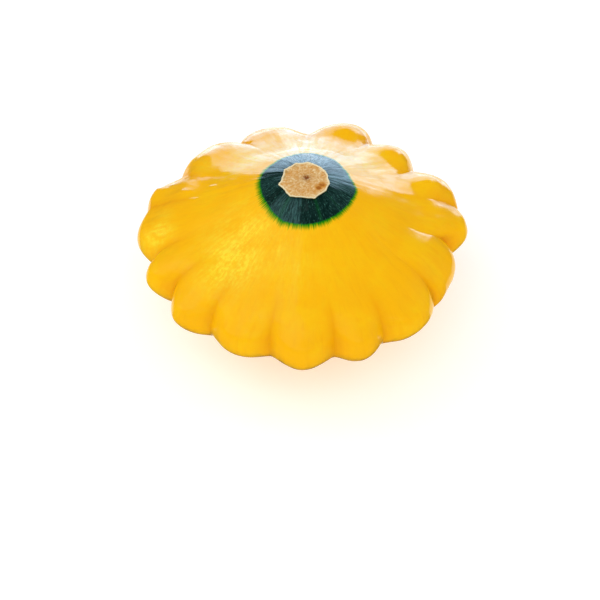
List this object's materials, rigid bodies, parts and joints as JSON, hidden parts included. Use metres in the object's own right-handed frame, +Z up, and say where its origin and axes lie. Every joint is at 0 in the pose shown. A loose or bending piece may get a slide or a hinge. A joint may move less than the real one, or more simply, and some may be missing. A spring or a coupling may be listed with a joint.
{
  "type": "pattypan squash",
  "caption": "Whole scalloped summer squash resting on its blossom end, with a flattened lobed body and a cut corky stem stub seated in the crown.",
  "frame": {"origin": "middle of the resting spot on the blossom end, on the fruit's own axis", "axes": "+Z up through the crown and the stem stub; -Y towards the broad front with the plain lobes, +Y towards the knobbly back"},
  "size_m": [0.1292, 0.1281, 0.0673],
  "materials": {
    "skin": "gloss",
    "stem": "matte"
  },
  "bodies": {
    "root": {"fruit": "skin", "stem_stub": "stem"}
  },
  "joints": []
}
